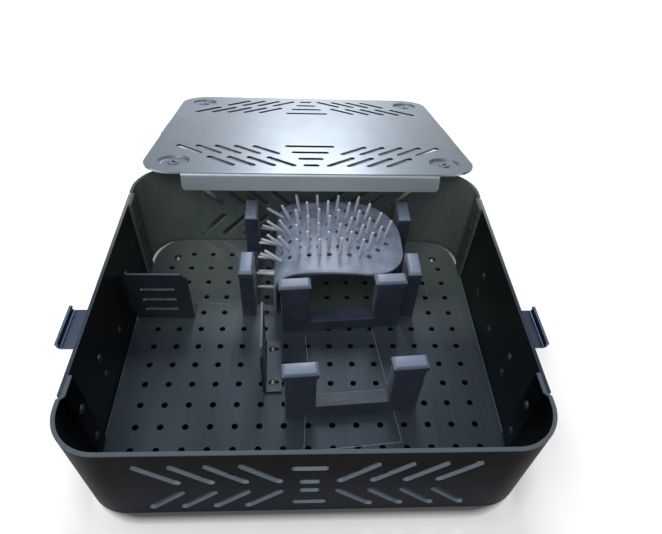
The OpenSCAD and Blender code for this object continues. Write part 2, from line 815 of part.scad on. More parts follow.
// Point on the mat's outside, s along it from the floor
function mat_point(s) = s < mat_leg_l ? [mat_x0, floor_z1 + s]
    : s < mat_leg_l + mat_bend_l
        ? [mat_bx + mat_bend_r * sin(mat_angle(s)), mat_bz + mat_bend_r * cos(mat_angle(s))]
        : [mat_crown_x + mat_top_r * sin(mat_angle(s)), mat_cz + mat_top_r * cos(mat_angle(s))];

// Places its child on the mat's outside, its Z pointing away from the mat
module on_mat(s, y) {
    translate([mat_point(s)[0], y, mat_point(s)[1]]) rotate([0, mat_angle(s), 0]) children();
}

// Fingers and drain holes take turns on one grid, which leaves out three places
// at each free corner: odd says which of the two are placed
function in_mat_grid(i, j, odd) = (i + j) % 2 == odd && mat_cols - i + min(j, mat_rows - j) > 1;

module at_mat_place(i, j) {
    on_mat(mat_col0 + i * mat_pitch, mat_row0 + j * mat_row_pitch) children();
}

// Leg, bend and arched top with their drain holes and big round free corners
module finger_mat() {
    color([0.33, 0.38, 0.48]) difference() {
        intersection() {
            translate([0, mat_y0 + mat_w, 0]) rotate([90, 0, 0]) linear_extrude(mat_w) mat2d();
            translate([mat_x0, mat_y, floor_z1 - 1]) linear_extrude(mat_top_z)
                rounded_rect(2 * (mat_x1 - mat_x0), mat_w, mat_corner_r);
        }
        for (i = [0:mat_cols]) {
            for (j = [0:mat_rows]) {
                if (in_mat_grid(i, j, 1)) {
                    at_mat_place(i, j) translate([0, 0, -mat_t - 1]) cylinder(h = mat_t + 2, d = mat_hole_d);
                }
            }
        }
    }
}

// Tapered fingers moulded onto the mat, square to its surface
module mat_fingers() {
    color([0.4, 0.45, 0.54]) for (i = [0:mat_cols]) {
        l = mat_angle(mat_col0 + i * mat_pitch) < -60 ? finger_leg_l : finger_l;
        for (j = [0:mat_rows]) {
            if (in_mat_grid(i, j, 0)) {
                at_mat_place(i, j) cylinder(h = l, d1 = finger_d0, d2 = finger_d1, $fn = 24);
            }
        }
    }
}

// Slotted plate with a foot bent off its lower edge
module divider() {
    ri = 1;
    difference() {
        union() {
            rotate([90, 0, 0]) mirror([0, 0, 1]) linear_extrude(div_t) difference() {
                polygon([[-div_w / 2, div_t + ri], [div_w / 2, div_t + ri], [div_w / 2, div_h - div_cut],
                    [div_w / 2 - div_cut, div_h], [-div_w / 2 + 1, div_h], [-div_w / 2, div_h - 1]]);
                for (k = [0:2]) {
                    translate([-1, div_h - 14 - k * div_slot_pitch]) slot2d(div_slot_l, div_slot_w);
                }
            }
            translate([-div_w / 2, div_t + ri, div_t + ri]) rotate([90, 0, 90]) linear_extrude(div_w)
                mirror([1, 0]) mirror([0, 1]) bend2d(ri, div_t);
            translate([0, (div_t + ri + div_foot) / 2, div_t / 2])
                cube([div_w, div_foot - div_t - ri, div_t], center = true);
        }
        for (i = [0, 1]) {
            for (s = [-1, 1]) {
                translate([s * div_screw_pitch / 2, div_screw_off[i], -1])
                    cylinder(h = div_t + 2, d = screw_d + 2 * fast_clear);
            }
        }
    }
}

module divider_left() {
    color([0.1, 0.11, 0.13]) at_divider(0) divider();
}

module divider_middle() {
    color([0.1, 0.11, 0.13]) at_divider(1) divider();
}

module divider_screws() {
    color([0.75, 0.76, 0.78]) at_divider_screws() {
        translate([0, 0, div_t]) dome(screw_d / 2 + 1.1, 1.2);
        translate([0, 0, -sheet_t - nut_h - 0.3]) cylinder(h = div_t + sheet_t + nut_h + 0.3, d = screw_d);
    }
}

module divider_nuts() {
    color([0.75, 0.76, 0.78]) at_divider_screws() translate([0, 0, -sheet_t - nut_h]) difference() {
        cylinder(h = nut_h, d = 2 * screw_d + 0.8, $fn = 6);
        translate([0, 0, -1]) cylinder(h = nut_h + 2, d = screw_d + 2 * fast_clear);
    }
}

tray_pan();
front_wall();
rear_wall();
wall_rivets();
feet();
foot_screws();
bracket_left();
bracket_right();
bracket_rivets();
latch_pins();
latch_left();
latch_right();
lid();
holder_front();
holder_middle();
holder_left();
holder_right();
finger_mat();
mat_fingers();
divider_left();
divider_middle();
divider_screws();
divider_nuts();
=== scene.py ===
"""Dental instrument cassette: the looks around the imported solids.

The sheet metal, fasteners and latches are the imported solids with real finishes.
The soft holders, the finger mat and the feet are modelled here, and so are the
etched outlines on the tray's floor. All sizes are in metres.
"""

import math
import random

import bmesh
import bpy
from bpy.props import FloatProperty, IntProperty, PointerProperty
from mathutils import Matrix, Vector


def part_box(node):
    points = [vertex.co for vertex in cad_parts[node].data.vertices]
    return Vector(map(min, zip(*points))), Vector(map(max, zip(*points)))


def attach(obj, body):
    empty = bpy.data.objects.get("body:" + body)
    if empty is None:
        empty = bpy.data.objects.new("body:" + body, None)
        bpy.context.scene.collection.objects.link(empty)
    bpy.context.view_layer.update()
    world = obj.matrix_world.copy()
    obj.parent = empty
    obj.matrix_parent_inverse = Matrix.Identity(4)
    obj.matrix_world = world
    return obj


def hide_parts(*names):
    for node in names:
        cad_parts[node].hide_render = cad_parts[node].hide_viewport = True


bl_info = {
    "name": "Instrument cassette",
    "version": (1, 0, 0),
    "blender": (4, 5, 0),
    "location": "3D View > Sidebar > Cassette",
    "description": "Builds the soft pieces and finishes of a perforated instrument cassette",
    "category": "Object",
}

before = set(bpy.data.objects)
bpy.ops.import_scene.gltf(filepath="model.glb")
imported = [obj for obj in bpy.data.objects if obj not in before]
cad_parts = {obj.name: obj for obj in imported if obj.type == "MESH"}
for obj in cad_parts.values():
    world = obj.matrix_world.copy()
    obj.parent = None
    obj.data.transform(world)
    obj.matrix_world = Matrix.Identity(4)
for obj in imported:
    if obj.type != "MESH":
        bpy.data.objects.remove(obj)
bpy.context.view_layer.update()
MM = 0.001

# The photograph's camera, in the model's frame: place, then the directions of
# the picture's right, down and forward
CAMERA_PLACE = (-0.00584, -0.21992, 0.31285)
CAMERA_RIGHT = (0.99827103, -0.03588784, 0.04655121)
CAMERA_DOWN = (0.00611275, -0.72429238, -0.68946587)
CAMERA_AHEAD = (0.05846013, 0.68855836, -0.72282072)
CAMERA_LENS = 29.19
CAMERA_SHIFT_Y = 0.00595

# Height of the tray floor's upper face, above the ends of the holders' packed plugs
PACKED_PLUG_H = 3.5 * MM
FLOOR_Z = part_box("holder_left")[0].z + PACKED_PLUG_H

# The mat's side view: an upright leg, a bend, and a wide arc with its crown beside the bend
MAT_BEND_R = 20 * MM
MAT_TOP_R = 190 * MM
MAT_CROWN_X = 16 * MM
# Radius of its free corners
MAT_CORNER_R = 30 * MM
# Its grid of holes and fingers, from the leg's foot and from the middle of its width
MAT_COLS = 15
MAT_ROWS = 6
MAT_PITCH = 7.05 * MM
MAT_ROW_PITCH = 7.9 * MM
MAT_COL0 = 10.2 * MM
MAT_ROW_OFF = 3.5 * MM
MAT_HOLE_R = 1.8 * MM
# Its fingers, which are shorter on the leg and don't lean along the mat there
FINGER_FOOT_R = 1.4 * MM
FINGER_TIP_R = 0.95 * MM
FINGER_L = 15 * MM
LEG_FINGER_L = 12.6 * MM
LEG_TILT = -math.radians(60)

# Outlines etched on the floor, in millimetres from its middle
ETCHED_LINES = (
    ((-109.5, 68), (-104.9, 72.4), (-98.1, 73.5), (-96.3, 76.8), (-79.2, 76.4), (-76.3, 71.5)),
    ((-75.2, 74.8), (-74.2, 79.7), (-59.3, 79.9), (-57.6, 78.2)),
    ((-90.8, 54.7), (-78.8, 54.8), (-77, 57.8), (-75.3, 56.8), (-76.7, 43.8), (-76.1, 38.9),
     (-57.7, 38), (-57.6, 52.9), (-52.9, 49.9)),
    ((-1.7, 9.6), (0.2, -11.5), (-2.6, -75.8)),
    ((45.9, 16.7), (52.7, -33.7), (57.2, -71.5)),
    ((2.2, -76.4), (57.2, -71.5)),
    ((92.6, 83), (91.8, 47.5)),
    ((-30.9, 30.5), (-23.3, 21.2)),
)


def srgb(code):
    """Turns an sRGB hex value such as "#8893a0" into linear red, green, blue and alpha."""
    def linear(part):
        value = int(part, 16) / 255
        return value / 12.92 if value <= 0.04045 else ((value + 0.055) / 1.055) ** 2.4
    return tuple(linear(code[i:i + 2]) for i in (1, 3, 5)) + (1.0,)


def add_node(tree, kind, settings=None, inputs=None):
    """Adds one shader node, sets its properties and sets or links its inputs."""
    node = tree.nodes.new(kind)
    for key, value in (settings or {}).items():
        setattr(node, key, value)
    for key, value in (inputs or {}).items():
        if isinstance(value, bpy.types.NodeSocket):
            tree.links.new(value, node.inputs[key])
        else:
            node.inputs[key].default_value = value
    return node


def start_material(name):
    """Empty node material with its Object coordinates and a Principled shader."""
    material = bpy.data.materials.new(name)
    material.use_nodes = True
    tree = material.node_tree
    tree.nodes.clear()
    place = add_node(tree, "ShaderNodeTexCoord").outputs["Object"]
    shader = add_node(tree, "ShaderNodeBsdfPrincipled")
    add_node(tree, "ShaderNodeOutputMaterial", inputs={"Surface": shader.outputs["BSDF"]})
    return material, tree, place, shader


def ramp_colours(tree, factor, stops):
    """Colour ramp over the factor: stops are (position, hex)."""
    ramp = add_node(tree, "ShaderNodeValToRGB", inputs={"Fac": factor})
    elements = ramp.color_ramp.elements
    while len(elements) < len(stops):
        elements.new(0.5)
    for element, (position, code) in zip(elements, stops):
        element.position = position
        element.color = srgb(code)
    return ramp.outputs["Color"]


def blend_colours(tree, factor, first, second):
    """Mixes two colours by a factor."""
    mixed = add_node(tree, "ShaderNodeMix", {"data_type": "RGBA"}, {0: factor, 6: first, 7: second})
    return mixed.outputs[2]


def number(tree, operation, first, second=0.5):
    """Result of one Math node."""
    return add_node(tree, "ShaderNodeMath", {"operation": operation}, {0: first, 1: second}).outputs[0]


def vector(tree, operation, first, second=(0, 0, 0)):
    """Node of one Vector Math operation."""
    return add_node(tree, "ShaderNodeVectorMath", {"operation": operation}, {0: first, 1: second})


def ranged(tree, value, start, end, low=0.0, high=1.0):
    """Value turned from start..end into low..high, and kept between them."""
    node = add_node(tree, "ShaderNodeMapRange", inputs={"Value": value, "From Min": start, "From Max": end,
                                                        "To Min": low, "To Max": high})
    return node.outputs["Result"]


def noise(tree, place, scale, detail=2.0, roughness=0.5):
    """Noise with this many features a metre."""
    node = add_node(tree, "ShaderNodeTexNoise", inputs={"Vector": place, "Scale": scale, "Detail": detail,
                                                        "Roughness": roughness})
    return node.outputs["Fac"]


def stretch(tree, place, scale):
    """Coordinates scaled differently along each axis."""
    return add_node(tree, "ShaderNodeMapping", inputs={"Vector": place, "Scale": scale}).outputs["Vector"]


def raise_grain(tree, shader, height, strength, distance):
    """Bump from a height, on the shader's normal."""
    relief = add_node(tree, "ShaderNodeBump",
                      inputs={"Height": height, "Strength": strength, "Distance": distance})
    tree.links.new(relief.outputs["Normal"], shader.inputs["Normal"])


def share_along(tree, place, way, start, end):
    """Factor from 0 at start to 1 at end, along an axis or by how far a face looks along a direction."""
    if isinstance(way, str):
        value = add_node(tree, "ShaderNodeSeparateXYZ", inputs={"Vector": place}).outputs[way]
    else:
        outward = add_node(tree, "ShaderNodeTexCoord").outputs["Normal"]
        value = vector(tree, "DOT_PRODUCT", outward, way).outputs["Value"]
        if way[0]:
            # The left and right plates count alike
            value = number(tree, "ABSOLUTE", value)
    return ranged(tree, value, start, end)


def anodised_aluminium(name, dark, light, roughness, metallic, streak=(1, 1, 1), specular=0.5, drawn=0.07,
                       painted_light=()):
    """Anodised aluminium sheet: rolled, etched matt, then dyed in the oxide bath.

    It gives a dark satin metal with a faint cloudy tone, rolling streaks and a
    fine matt grain that spreads the highlights. Its layers paint light and shade
    into the tone along an axis, or on faces that look along a direction: each is
    (X, Y, Z or direction, start, end, colour), in the order they are laid on. More
    tuples of the first three keep a layer to a part of the sheet.
    """
    material, tree, place, shader = start_material(name)
    # Clouds about 45 mm across, from handling and uneven dye
    clouds = noise(tree, stretch(tree, place, streak), 22.0, 3.0, 0.45)
    tone = ramp_colours(tree, clouds, ((0.3, dark), (0.7, light)))
    # Rolling streaks 1 to 3 mm wide and a hand long
    streaks = noise(tree, stretch(tree, place, (420, 12, 60)), 1.0)
    strength = ranged(tree, streaks, 0.3, 0.7, 1 - drawn, 1 + drawn)
    rolled = add_node(tree, "ShaderNodeVectorMath", {"operation": "SCALE"}, {0: tone, "Scale": strength})
    tone = rolled.outputs[0]
    # Painted light and shade, laid over the metal's own tone
    for way, start, end, colour, *only in painted_light:
        share = share_along(tree, place, way, start, end)
        for limit in only:
            share = number(tree, "MULTIPLY", share, share_along(tree, place, *limit))
        tone = blend_colours(tree, share, tone, srgb(colour))
    tree.links.new(tone, shader.inputs["Base Color"])
    spread = ranged(tree, clouds, 0.3, 0.7, roughness + 0.05, roughness - 0.05)
    tree.links.new(spread, shader.inputs["Roughness"])
    # Matt etch about 0.1 mm fine, drawn 0.5 mm wide so that it shows
    raise_grain(tree, shader, noise(tree, place, 2000.0), 0.12, 0.05 * MM)
    shader.inputs["Metallic"].default_value = metallic
    shader.inputs["Specular IOR Level"].default_value = specular
    return material


def polished_steel(name, dark, light, roughness):
    """Stainless steel, pressed and polished: fine buffing lines in a bright metal."""
    material, tree, place, shader = start_material(name)
    # Buffing lines about 0.2 mm apart, drawn 0.6 mm so that they show
    brush = noise(tree, stretch(tree, place, (60, 1500, 60)), 1.0)
    tree.links.new(ramp_colours(tree, brush, ((0.3, dark), (0.7, light))), shader.inputs["Base Color"])
    tree.links.new(ranged(tree, brush, 0.3, 0.7, roughness, roughness + 0.08), shader.inputs["Roughness"])
    shader.inputs["Metallic"].default_value = 1.0
    return material


def moulded_silicone(name, dark, light, roughness, top=None):
    """Silicone rubber, compression moulded: satin skin, dust on it, a soft sheen.

    Upward faces above a height are paler, painted light from above (top: height, colour).
    """
    material, tree, place, shader = start_material(name)
    # Dust and handling marks, about 12 mm across
    dust = noise(tree, place, 85.0, 5.0, 0.6)
    tone = ramp_colours(tree, dust, ((0.35, dark), (0.7, light)))
    # Painted light: upward faces above the height are paler
    if top:
        height, colour = top
        above = share_along(tree, place, "Z", height - 4 * MM, height)
        upward = share_along(tree, place, (0, 0, 1), 0.05, 0.8)
        tone = blend_colours(tree, number(tree, "MULTIPLY", above, upward), tone, srgb(colour))
    tree.links.new(tone, shader.inputs["Base Color"])
    # Skin left by the spark-eroded mould, about 0.3 mm, drawn 0.7 mm so that it shows
    raise_grain(tree, shader, noise(tree, place, 1400.0), 0.25, 0.1 * MM)
    spread = ranged(tree, dust, 0.3, 0.75, roughness - 0.06, roughness + 0.1)
    tree.links.new(spread, shader.inputs["Roughness"])
    shader.inputs["IOR"].default_value = 1.41
    shader.inputs["Sheen Weight"].default_value = 0.12
    shader.inputs["Sheen Roughness"].default_value = 0.4
    return material


def rounded_mask(tree, place, centre, half, inner, outer):
    """Factor from 0 on a rectangle of the floor to 1 off it.

    It rises from inner to outer, which are distances from the rectangle's edge.
    """
    apart = vector(tree, "ABSOLUTE", vector(tree, "SUBTRACT", place, centre).outputs[0]).outputs[0]
    apart = vector(tree, "MAXIMUM", vector(tree, "SUBTRACT", apart, half).outputs[0]).outputs[0]
    return ranged(tree, vector(tree, "LENGTH", apart).outputs["Value"], inner, outer)


def studio_floor(name, colour):
    """Seamless pale paper, which the camera sees a little brighter than it is."""
    material, tree, place, shader = start_material(name)
    # Paper tooth, far finer than the view shows, drawn 4 mm across
    raise_grain(tree, shader, noise(tree, place, 250.0), 0.02, 0.05 * MM)
    # Painted shade under the tray, and a softer one behind it, so that the holes and rear slots read dark
    behind = rounded_mask(tree, place, centre=(0, 0.14, 0), half=(0.06, 0.02, 0), inner=0.02, outer=0.07)
    under = rounded_mask(tree, place, centre=(0, 0.003, 0), half=(0.090, 0.082, 0), inner=0.031, outer=0.036)
    tone = blend_colours(tree, behind, srgb("#4c4a48"), srgb(colour))
    tree.links.new(blend_colours(tree, under, srgb("#141414"), tone), shader.inputs["Base Color"])
    shader.inputs["Roughness"].default_value = 0.9
    shader.inputs["Specular IOR Level"].default_value = 0.1
    # No glow where the floor shows through the tray's holes and the lid's slots, and more of it far
    # from the lamps, where the paper stays as white as near the tray
    outside = rounded_mask(tree, place, centre=(0, 0.085, 0), half=(0.1, 0.165, 0), inner=0.02, outer=0.04)
    away = vector(tree, "LENGTH", place).outputs["Value"]
    bright = ranged(tree, away, start=0.45, end=1.4, low=0.16, high=0.8)
    glow = add_node(tree, "ShaderNodeEmission",
                    inputs={"Color": (1, 1, 1, 1), "Strength": number(tree, "MULTIPLY", outside, bright)})
    clear = add_node(tree, "ShaderNodeBsdfTransparent", inputs={"Color": (0, 0, 0, 1)})
    rays = add_node(tree, "ShaderNodeLightPath")
    seen = add_node(tree, "ShaderNodeMixShader",
                    inputs={0: rays.outputs["Is Camera Ray"], 1: clear.outputs["BSDF"],
                            2: glow.outputs["Emission"]})
    both = add_node(tree, "ShaderNodeAddShader",
                    inputs={0: shader.outputs["BSDF"], 1: seen.outputs["Shader"]})
    output = next(n for n in tree.nodes if n.type == "OUTPUT_MATERIAL")
    tree.links.new(both.outputs["Shader"], output.inputs["Surface"])
    return material


def deselect_all():
    """Leaves nothing selected, in object mode."""
    if bpy.context.object and bpy.context.object.mode != "OBJECT":
        bpy.ops.object.mode_set(mode="OBJECT")
    bpy.ops.object.select_all(action="DESELECT")


def begin_piece(name):
    """Names the primitive just added and enters edit mode in face selection."""
    piece = bpy.context.object
    piece.name = name
    piece.data.name = name
    bpy.ops.object.transform_apply(location=True, rotation=True, scale=True)
    bpy.ops.object.mode_set(mode="EDIT")
    bpy.ops.mesh.select_mode(type="FACE")
    return piece


def choose(piece, test, kind="faces"):
    """Selects the faces, edges or vertices that pass the test, and no others."""
    bpy.ops.mesh.select_all(action="DESELECT")
    mesh = bmesh.from_edit_mesh(piece.data)
    for element in getattr(mesh, kind):
        if test(element):
            element.select_set(True)
    mesh.select_flush_mode()
    bmesh.update_edit_mesh(piece.data)


def middle(element):
    """Middle of an edge or a face."""
    points = [v.co for v in element.verts]
    return sum(points, Vector()) / len(points)


def extrude(by):
    """Extrudes the selected faces by a vector."""
    bpy.ops.mesh.extrude_region_move(TRANSFORM_OT_translate={"value": by})


def finish_piece(piece, material, body, *nodes, bevel=0.0, segments=3, angle=35, slot=None):
    """Bevels, shades and hands over a piece: its body, its finish and the nodes it stands for."""
    if bpy.context.object and bpy.context.object.mode == "EDIT":
        bpy.ops.mesh.select_all(action="SELECT")
        bpy.ops.mesh.remove_doubles(threshold=1e-6)
        bpy.ops.mesh.normals_make_consistent(inside=False)
        bpy.ops.object.mode_set(mode="OBJECT")
    deselect_all()
    piece.select_set(True)
    bpy.context.view_layer.objects.active = piece
    bpy.ops.object.transform_apply(location=True, rotation=True, scale=True)
    if bevel:
        rounding = piece.modifiers.new("rounding", "BEVEL")
        rounding.width = bevel
        rounding.segments = segments
        rounding.limit_method = "ANGLE"
        rounding.angle_limit = math.radians(angle)
        bpy.ops.object.modifier_apply(modifier=rounding.name)
    bpy.ops.object.shade_smooth_by_angle(angle=math.radians(angle))
    piece.data.materials.clear()
    piece.data.materials.append(material)
    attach(piece, body)
    if nodes:
        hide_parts(*nodes)
    return piece


def join_into(piece, others):
    """Joins the other objects into the piece."""
    deselect_all()
    for other in others:
        other.select_set(True)
    piece.select_set(True)
    bpy.context.view_layer.objects.active = piece
    bpy.ops.object.join()
    return piece


class CassetteHolders(bpy.types.PropertyGroup):
    """Sizes of the soft holders"""
    height: FloatProperty(name="Height", description="Height above the floor", default=47 * MM, unit="LENGTH")
    thickness: FloatProperty(name="Thickness", description="Thickness of the moulding", default=9.5 * MM,
                             unit="LENGTH")
    bar: FloatProperty(name="Bar", description="Height of the bar between the posts", default=10 * MM,
                       unit="LENGTH")
    post: FloatProperty(name="Post", description="Width of a post", default=18.5 * MM, unit="LENGTH")
    head: FloatProperty(name="Head", description="How far a head stands out", default=1.5 * MM, unit="LENGTH")
    rounding: FloatProperty(name="Rounding", description="Radius of the edges", default=1.1 * MM,
                            unit="LENGTH")


class CassetteMat(bpy.types.PropertyGroup):
    """Sizes of the finger mat"""
    thickness: FloatProperty(name="Thickness", description="Thickness of the mat", default=1.8 * MM,
                             unit="LENGTH")
    lean: FloatProperty(name="Lean", description="How much the fingers lean at random",
                        default=math.radians(4), unit="ROTATION")
    sides: IntProperty(name="Sides", description="Sides of a finger", default=14, min=8, max=32)


class CASSETTE_OT_stage(bpy.types.Operator):
    """Makes the camera, the light, the white background and the floor"""
    bl_idname = "cassette.stage"
    bl_label = "Stage"

    def execute(self, context):
        data = bpy.data.cameras.new("camera")
        data.lens = CAMERA_LENS
        data.sensor_width = 36
        data.sensor_fit = "HORIZONTAL"
        data.shift_y = CAMERA_SHIFT_Y
        data.clip_start = 0.01
        camera = bpy.data.objects.new("camera", data)
        context.scene.collection.objects.link(camera)
        right, down, ahead = (Vector(v) for v in (CAMERA_RIGHT, CAMERA_DOWN, CAMERA_AHEAD))
        turn = Matrix((right, -down, -ahead)).transposed()
        camera.matrix_world = Matrix.Translation(CAMERA_PLACE) @ turn.to_4x4()
        context.scene.camera = camera
        context.scene.view_settings.view_transform = "Standard"

        deselect_all()
        bpy.ops.mesh.primitive_plane_add(size=6, location=(0, 0, 0))
        floor = begin_piece("studio_floor")
        deselect_all()
        floor.data.materials.append(studio_floor("seamless paper", "#f2f2f3"))

        world = bpy.data.worlds.new("studio")
        context.scene.world = world
        world.use_nodes = True
        tree = world.node_tree
        tree.nodes.clear()
        rays = add_node(tree, "ShaderNodeLightPath")
        # White for the camera, and a dimmer even light on the object
        shown = number(tree, "MAXIMUM", rays.outputs["Is Camera Ray"], rays.outputs["Is Transmission Ray"])
        sky = add_node(tree, "ShaderNodeBackground",
                       inputs={"Color": (1, 1, 1, 1),
                               "Strength": ranged(tree, shown, start=0, end=1, low=0.42, high=1.0)})
        add_node(tree, "ShaderNodeOutputWorld", inputs={"Surface": sky.outputs["Background"]})

        # Soft lamps: one over the front left, one over the left, and a tall panel behind that the lid mirrors
        for name, size, power, place, aim in (
            ("key_light", (1.1, 0.7), 7.0, (-0.25, -0.5, 1.25), (0, 0.05, 0.03)),
            ("fill_light", (0.8, 0.8), 3.0, (-0.7, 0.2, 1.1), (0, 0.05, 0.03)),
            ("rear_panel", (0.38, 1.4), 17.0, (0.03, 1.35, 0.85), (0, 0.1, 0.05)),
        ):
            lamp = bpy.data.lights.new(name, "AREA")
            lamp.shape = "RECTANGLE"
            lamp.size, lamp.size_y = size
            lamp.energy = power
            light = bpy.data.objects.new(name, lamp)
            context.scene.collection.objects.link(light)
            light.location = place
            light.rotation_euler = (Vector(aim) - Vector(place)).to_track_quat("-Z", "Y").to_euler()
            light.visible_camera = False
        return {"FINISHED"}


class CASSETTE_OT_metal(bpy.types.Operator):
    """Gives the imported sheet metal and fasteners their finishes"""
    bl_idname = "cassette.metal"
    bl_label = "Metal finishes"

    def execute(self, context):
        up, sideways, front, back = (0, 0, 1), (1, 0, 0), (0, -1, 0), (0, 1, 0)
        # Painted light makes the floor paler towards the rear, and painted shade makes the side plates nearly
        # black
        tray = anodised_aluminium("anodised aluminium, tray", "#28323b", "#37434d", 0.42, 0.5, (1, 0.35, 1),
                                  0.35, painted_light=(("Y", 0, 95 * MM, "#76827f"),
                                                (sideways, 0.4, 0.9, "#111417")))
        # Painted light makes it a pale green-grey inside, far paler than the other anodising; outside it is
        # nearly black
        rear = anodised_aluminium("anodised aluminium, rear wall", "#6d7976", "#7c8986", 0.45, 0.4,
                                  specular=0.35, painted_light=((back, -0.2, 0.1, "#14161a"),))
        # Painted shade keeps the wall nearly black; painted light makes it paler at the foot, a painted
        # reflection of the floor, and on the slots' upward faces, with a painted highlight along the rim
        wall = anodised_aluminium("anodised aluminium, front wall", "#040505", "#080809", 0.42, 0.05,
                                  specular=0.02,
                                  painted_light=(("Z", 58 * MM, 4 * MM, "#23282f"), (up, 0.3, 0.7, "#67727d"),
                                          ("Z", 74 * MM, 74.5 * MM, "#505a63")))
        # Painted light makes the lid far paler than the tray's anodising, and the near flange's face is the
        # palest, a painted highlight; painted shade makes the slots' walls nearly black
        slots_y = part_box("lid")[0].y + 12 * MM
        lid = anodised_aluminium("anodised aluminium, lid", "#66727f", "#74808d", 0.34, 0.7, (1, 0.5, 1),
                                 drawn=0.015,
                                 painted_light=((front, 0.5, 0.8, "#14181c"),
                                         (front, 0.5, 0.8, "#bccbd1", ("Y", slots_y, slots_y - 1 * MM))))
        plate = anodised_aluminium("anodised aluminium, dividers", "#363e46", "#444b54", 0.4, 0.5)
        bracket = anodised_aluminium("anodised aluminium, brackets", "#22252a", "#2e3238", 0.4, 0.6)
        latch = polished_steel("brushed stainless steel, latches", "#4c586e", "#536077", 0.3)
        fastener = polished_steel("stainless steel, fasteners", "#6c7177", "#868b91", 0.32)
        for material, nodes in (
            (tray, ("tray_pan",)),
            (wall, ("front_wall",)),
            (rear, ("rear_wall",)),
            (lid, ("lid",)),
            (plate, ("divider_left", "divider_middle")),
            (bracket, ("bracket_left", "bracket_right")),
            (latch, ("latch_left", "latch_right")),
            (fastener, ("wall_rivets", "bracket_rivets", "latch_pins", "foot_screws", "divider_screws",
                        "divider_nuts")),
        ):
            for node in nodes:
                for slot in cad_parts[node].material_slots:
                    slot.material = material
        return {"FINISHED"}


def make_plug(x):
    """Plug under a holder: a waist in the floor's hole and a wider foot below the sheet."""
    waist_r, foot_scale, plug_h, waist_h = 2 * MM, 1.45, 3.4 * MM, 2.05 * MM
    deselect_all()
    bpy.ops.mesh.primitive_cylinder_add(vertices=24, radius=waist_r, depth=plug_h,
                                        location=(x, 0, FLOOR_Z - plug_h / 2))
    plug = begin_piece("plug")
    choose(plug, lambda f: f.normal.z < -0.9)
    bpy.ops.transform.resize(value=(foot_scale, foot_scale, 1), center_override=(x, 0, 0))
    bpy.ops.mesh.bevel(offset=0.4 * MM, segments=2, affect="EDGES")
    bpy.ops.mesh.select_all(action="SELECT")
    bpy.ops.mesh.bisect(plane_co=(x, 0, FLOOR_Z - waist_h), plane_no=(0, 0, 1))
    choose(plug, lambda v: abs(v.co.z - FLOOR_Z + waist_h) < 1e-6, "verts")
    for v in bmesh.from_edit_mesh(plug.data).verts:
        if v.select:
            flat = Vector((v.co.x - x, v.co.y, 0)).normalized() * waist_r
            v.co = (x + flat.x, flat.y, v.co.z)
    bmesh.update_edit_mesh(plug.data)
    bpy.ops.object.mode_set(mode="OBJECT")
    return plug


def make_holder(name, length, centre, turn, plugs, material):
    """One soft holder: a bar with two posts, their heads, and the plugs under it."""
    s = bpy.context.scene.cassette_holders
    deselect_all()
    bpy.ops.mesh.primitive_cube_add(size=1, location=(0, 0, FLOOR_Z + s.bar / 2),
                                    scale=(length, s.thickness, s.bar))
    piece = begin_piece(name)
    inner = length / 2 - s.post
    for side in (-1, 1):
        bpy.ops.mesh.select_all(action="SELECT")
        bpy.ops.mesh.bisect(plane_co=(side * inner, 0, 0), plane_no=(1, 0, 0))
    head_h = 7 * MM
    flare_h = 2 * s.head
    chamfer_h = 1.2 * s.head
    for side in (-1, 1):
        centre_x = side * (inner + s.post / 2)
        choose(piece, lambda f: f.normal.z > 0.9 and side * middle(f).x > inner)
        extrude((0, 0, s.height - head_h - s.bar))
        for rise, grow_x, grow_y in ((flare_h, 1, 0), (head_h - flare_h - chamfer_h, 0, 0),
                                     (chamfer_h, -1.2, -0.8)):
            extrude((0, 0, rise))
            top = [v.co for v in bmesh.from_edit_mesh(piece.data).verts if v.select]
            wide = max(p.x for p in top) - min(p.x for p in top)
            deep = max(p.y for p in top) - min(p.y for p in top)
            bpy.ops.transform.resize(
                value=((wide + 2 * grow_x * s.head) / wide, (deep + 2 * grow_y * s.head) / deep, 1),
                center_override=(centre_x, 0, top[0].z))
    # Soft fillets where the posts meet the bar
    choose(piece, lambda e: all(abs(abs(v.co.x) - inner) < 1e-6 and abs(v.co.z - FLOOR_Z - s.bar) < 1e-6
                                for v in e.verts), "edges")
    bpy.ops.mesh.bevel(offset=3 * MM, segments=5, affect="EDGES")
    bpy.ops.object.mode_set(mode="OBJECT")
    rounding = piece.modifiers.new("rounding", "BEVEL")
    rounding.width = s.rounding
    rounding.segments = 3
    rounding.limit_method = "ANGLE"
    rounding.angle_limit = math.radians(25)
    bpy.ops.object.modifier_apply(modifier=rounding.name)
    studs = [make_plug(x) for x in plugs]
    join_into(piece, studs)
    piece.data.transform(Matrix.Translation((centre[0], centre[1], 0)) @ Matrix.Rotation(turn, 4, "Z"))
    return finish_piece(piece, material, "tray", name.replace("soft_", ""), slot="silicone")


class CASSETTE_OT_holders(bpy.types.Operator):
    """Moulds the four soft instrument holders"""
    bl_idname = "cassette.holders"
    bl_label = "Soft holders"

    def execute(self, context):
        # Painted light: the heads' upward faces are paler
        silicone = moulded_silicone("silicone rubber, holders", "#2b3341", "#3b4558", 0.34,
                                    top=(46 * MM, "#69778c"))
        for name, length, turn, plugs in (
            ("soft_holder_front", 83, 4.2, (-34.2, 25.5)),
            ("soft_holder_middle", 83, 4.2, (-34.2, 25.5)),
            ("soft_holder_left", 74.5, 90, (-26.7, 18.3)),
            ("soft_holder_right", 74.5, 90, (-26.7, 18.3)),
        ):
            low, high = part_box(name.replace("soft_", ""))
            centre = (low + high) / 2
            make_holder(name, length * MM, centre, math.radians(turn), [p * MM for p in plugs], silicone)
        return {"FINISHED"}


